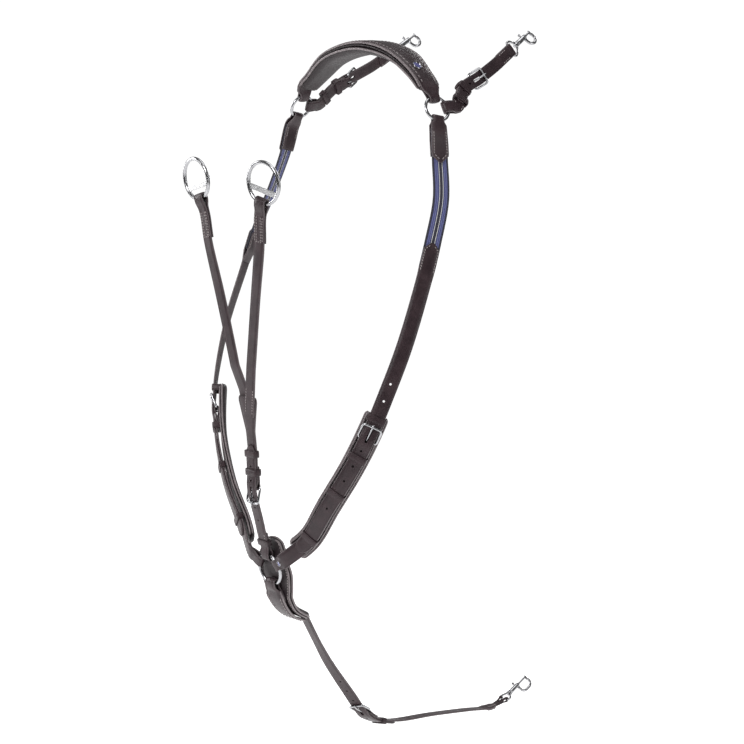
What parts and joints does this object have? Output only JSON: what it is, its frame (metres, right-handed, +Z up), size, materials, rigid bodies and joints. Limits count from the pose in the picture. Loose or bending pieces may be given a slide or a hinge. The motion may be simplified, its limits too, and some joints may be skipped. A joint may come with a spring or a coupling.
{
  "type": "breastplate",
  "caption": "Leather breastplate for a riding horse: padded wither and chest, elastic neck straps, forked martingale with rein rings, snap straps to saddle and girth.",
  "frame": {"origin": "the rest point on the underside of the wither pad, at the top of its arch", "axes": "+Z up; the horse faces -Y; +X is the horse's left"},
  "size_m": [0.3312, 0.5371, 0.9182],
  "materials": {
    "leather": "dark havana bridle leather, waxed edges",
    "padding": "soft dark leather over foam",
    "elastic": "woven elastic, blue with white lines",
    "steel": "polished stainless steel",
    "badge": "domed blue badge in a bright rim"
  },
  "bodies": {
    "neck": {"wither_strap": "leather", "wither_pad": "padding", "wither_badge": "badge", "elastic_chape_l": "leather", "elastic_l": "elastic", "shoulder_strap_l": "leather", "lower_strap_l": "leather", "shoulder_keeper_l": "leather", "lower_pad_l": "padding", "shoulder_buckle_l": "steel", "elastic_chape_r": "leather", "elastic_r": "elastic", "shoulder_strap_r": "leather", "lower_strap_r": "leather", "shoulder_keeper_r": "leather", "lower_pad_r": "padding", "shoulder_buckle_r": "steel", "chest_pad": "padding", "chest_ring": "steel", "chest_flap": "leather"},
    "shoulder_prong_l": {"shoulder_prong_l": "steel"},
    "wither_ring_l": {"wither_ring_l": "steel"},
    "saddle_strap_l": {"saddle_chape_l": "leather", "saddle_billet_l": "leather", "saddle_keeper_l": "leather", "saddle_buckle_l": "steel"},
    "saddle_prong_l": {"saddle_prong_l": "steel"},
    "saddle_snap_eye_l": {"saddle_snap_eye_l": "steel"},
    "saddle_snap_hook_l": {"saddle_snap_hook_l": "steel"},
    "saddle_snap_bolt_l": {"saddle_snap_bolt_l": "steel"},
    "shoulder_prong_r": {"shoulder_prong_r": "steel"},
    "wither_ring_r": {"wither_ring_r": "steel"},
    "saddle_strap_r": {"saddle_chape_r": "leather", "saddle_billet_r": "leather", "saddle_keeper_r": "leather", "saddle_buckle_r": "steel"},
    "saddle_prong_r": {"saddle_prong_r": "steel"},
    "saddle_snap_eye_r": {"saddle_snap_eye_r": "steel"},
    "saddle_snap_hook_r": {"saddle_snap_hook_r": "steel"},
    "saddle_snap_bolt_r": {"saddle_snap_bolt_r": "steel"},
    "martingale": {"martingale_billet": "leather", "martingale_fork": "leather", "martingale_keeper": "leather", "martingale_buckle": "steel", "martingale_arm_l": "leather", "martingale_arm_r": "leather"},
    "martingale_prong": {"martingale_prong": "steel"},
    "rein_ring_l": {"rein_ring_l": "steel"},
    "ring_gate_l": {"ring_gate_l": "steel"},
    "rein_ring_r": {"rein_ring_r": "steel"},
    "ring_gate_r": {"ring_gate_r": "steel"},
    "girth_strap": {"girth_billet": "leather", "girth_keeper": "leather", "girth_buckle": "steel", "girth_strap": "leather"},
    "girth_prong": {"girth_prong": "steel"},
    "girth_snap_eye": {"girth_snap_eye": "steel"},
    "girth_snap_hook": {"girth_snap_hook": "steel"},
    "girth_snap_bolt": {"girth_snap_bolt": "steel"}
  },
  "joints": [
    {"name": "shoulder_prong_l_hinge", "type": "hinge", "parent": "neck", "child": "shoulder_prong_l", "pos_m": [0.13552, -0.13919, -0.4388], "axis": [0.714, 0.5503, -0.4329], "range_deg": [0, 32]},
    {"name": "saddle_prong_l_hinge", "type": "hinge", "parent": "saddle_strap_l", "child": "saddle_prong_l", "pos_m": [0.1093, 0.06055, -0.03357], "axis": [0.3504, 0.3337, -0.8751], "range_deg": [0, 32]},
    {"name": "wither_ring_l_hinge", "type": "hinge", "parent": "neck", "child": "wither_ring_l", "pos_m": [0.119, -0.009, -0.064], "axis": [0.8721, -0.2174, 0.4384], "range_deg": [-25, 6]},
    {"name": "saddle_strap_l_hinge", "type": "hinge", "parent": "wither_ring_l", "child": "saddle_strap_l", "pos_m": [0.12182, 0.00564, -0.06236], "axis": [0.4517, 0.013, -0.8921], "range_deg": [-20, 20]},
    {"name": "saddle_snap_eye_l_hinge", "type": "hinge", "parent": "saddle_strap_l", "child": "saddle_snap_eye_l", "pos_m": [0.10292, 0.13712, 0.00564], "axis": [0.3236, 0.5011, -0.8026], "range_deg": [-40, 40]},
    {"name": "saddle_snap_hook_l_swivel", "type": "hinge", "parent": "saddle_snap_eye_l", "child": "saddle_snap_hook_l", "pos_m": [0.10209, 0.14657, 0.0112], "axis": [-0.0754, 0.8592, 0.506], "continuous": true},
    {"name": "saddle_snap_bolt_l_slide", "type": "slide", "parent": "saddle_snap_hook_l", "child": "saddle_snap_bolt_l", "axis": [0.0754, -0.8592, -0.506], "range_m": [0, 0.007], "stiffness_N_per_m": 60, "springref_m": -0.004},
    {"name": "rein_ring_l_hinge", "type": "hinge", "parent": "martingale", "child": "rein_ring_l", "pos_m": [0.05405, -0.22448, -0.16746], "axis": [-0.9655, -0.0966, 0.2416], "range_deg": [-20, 20]},
    {"name": "ring_gate_l_hinge", "type": "hinge", "parent": "rein_ring_l", "child": "ring_gate_l", "pos_m": [0.03424, -0.22868, -0.14177], "axis": [0.0726, -0.9917, -0.1062], "range_deg": [0, 60]},
    {"name": "shoulder_prong_r_hinge", "type": "hinge", "parent": "neck", "child": "shoulder_prong_r", "pos_m": [-0.13526, -0.13941, -0.43864], "axis": [0.6427, -0.6319, 0.4331], "range_deg": [0, 32]},
    {"name": "saddle_prong_r_hinge", "type": "hinge", "parent": "saddle_strap_r", "child": "saddle_prong_r", "pos_m": [-0.10924, 0.06396, -0.03192], "axis": [0.2548, -0.3637, 0.896], "range_deg": [0, 32]},
    {"name": "wither_ring_r_hinge", "type": "hinge", "parent": "neck", "child": "wither_ring_r", "pos_m": [-0.119, -0.009, -0.064], "axis": [-0.8982, 0.0314, 0.4384], "range_deg": [-6, 25]},
    {"name": "saddle_strap_r_hinge", "type": "hinge", "parent": "wither_ring_r", "child": "saddle_strap_r", "pos_m": [-0.11768, 0.00585, -0.06236], "axis": [0.4306, -0.137, 0.8921], "range_deg": [-20, 20]},
    {"name": "saddle_snap_eye_r_hinge", "type": "hinge", "parent": "saddle_strap_r", "child": "saddle_snap_eye_r", "pos_m": [-0.10288, 0.13705, 0.00575], "axis": [0.2038, -0.51, 0.8357], "range_deg": [-40, 40]},
    {"name": "saddle_snap_hook_r_swivel", "type": "hinge", "parent": "saddle_snap_eye_r", "child": "saddle_snap_hook_r", "pos_m": [-0.10205, 0.1465, 0.01132], "axis": [0.0754, 0.8592, 0.506], "continuous": true},
    {"name": "saddle_snap_bolt_r_slide", "type": "slide", "parent": "saddle_snap_hook_r", "child": "saddle_snap_bolt_r", "axis": [-0.0754, -0.8592, -0.506], "range_m": [0, 0.007], "stiffness_N_per_m": 60, "springref_m": -0.004},
    {"name": "rein_ring_r_hinge", "type": "hinge", "parent": "martingale", "child": "rein_ring_r", "pos_m": [-0.05405, -0.22448, -0.16746], "axis": [-0.9655, 0.0966, -0.2416], "range_deg": [-20, 20]},
    {"name": "ring_gate_r_hinge", "type": "hinge", "parent": "rein_ring_r", "child": "ring_gate_r", "pos_m": [-0.03424, -0.22868, -0.14177], "axis": [0.0726, 0.9917, 0.1062], "range_deg": [0, 60]},
    {"name": "martingale_hinge", "type": "hinge", "parent": "neck", "child": "martingale", "pos_m": [0, -0.17484, -0.59356], "axis": [-1, 0, 0], "range_deg": [-10, 25]},
    {"name": "martingale_prong_hinge", "type": "hinge", "parent": "martingale", "child": "martingale_prong", "pos_m": [0, -0.19319, -0.50718], "axis": [-1, 0, 0], "range_deg": [0, 32]},
    {"name": "girth_strap_hinge", "type": "hinge", "parent": "neck", "child": "girth_strap", "pos_m": [0, -0.1128, -0.6882], "axis": [1, 0, 0], "range_deg": [-20, 20]},
    {"name": "girth_prong_hinge", "type": "hinge", "parent": "girth_strap", "child": "girth_prong", "pos_m": [-0.00137, -0.01361, -0.83029], "axis": [0.9206, 0.2975, 0.2528], "range_deg": [0, 32]},
    {"name": "girth_snap_eye_hinge", "type": "hinge", "parent": "girth_strap", "child": "girth_snap_eye", "pos_m": [-0.00028, 0.25542, -0.88138], "axis": [0.9946, -0.0223, 0.1017], "range_deg": [-35, 35]},
    {"name": "girth_snap_hook_swivel", "type": "hinge", "parent": "girth_snap_eye", "child": "girth_snap_hook", "pos_m": [-0.00028, 0.26536, -0.87665], "axis": [0, 0.9031, 0.4295], "continuous": true},
    {"name": "girth_snap_bolt_slide", "type": "slide", "parent": "girth_snap_hook", "child": "girth_snap_bolt", "axis": [0, -0.9031, -0.4295], "range_m": [0, 0.007], "stiffness_N_per_m": 60, "springref_m": -0.004}
  ]
}
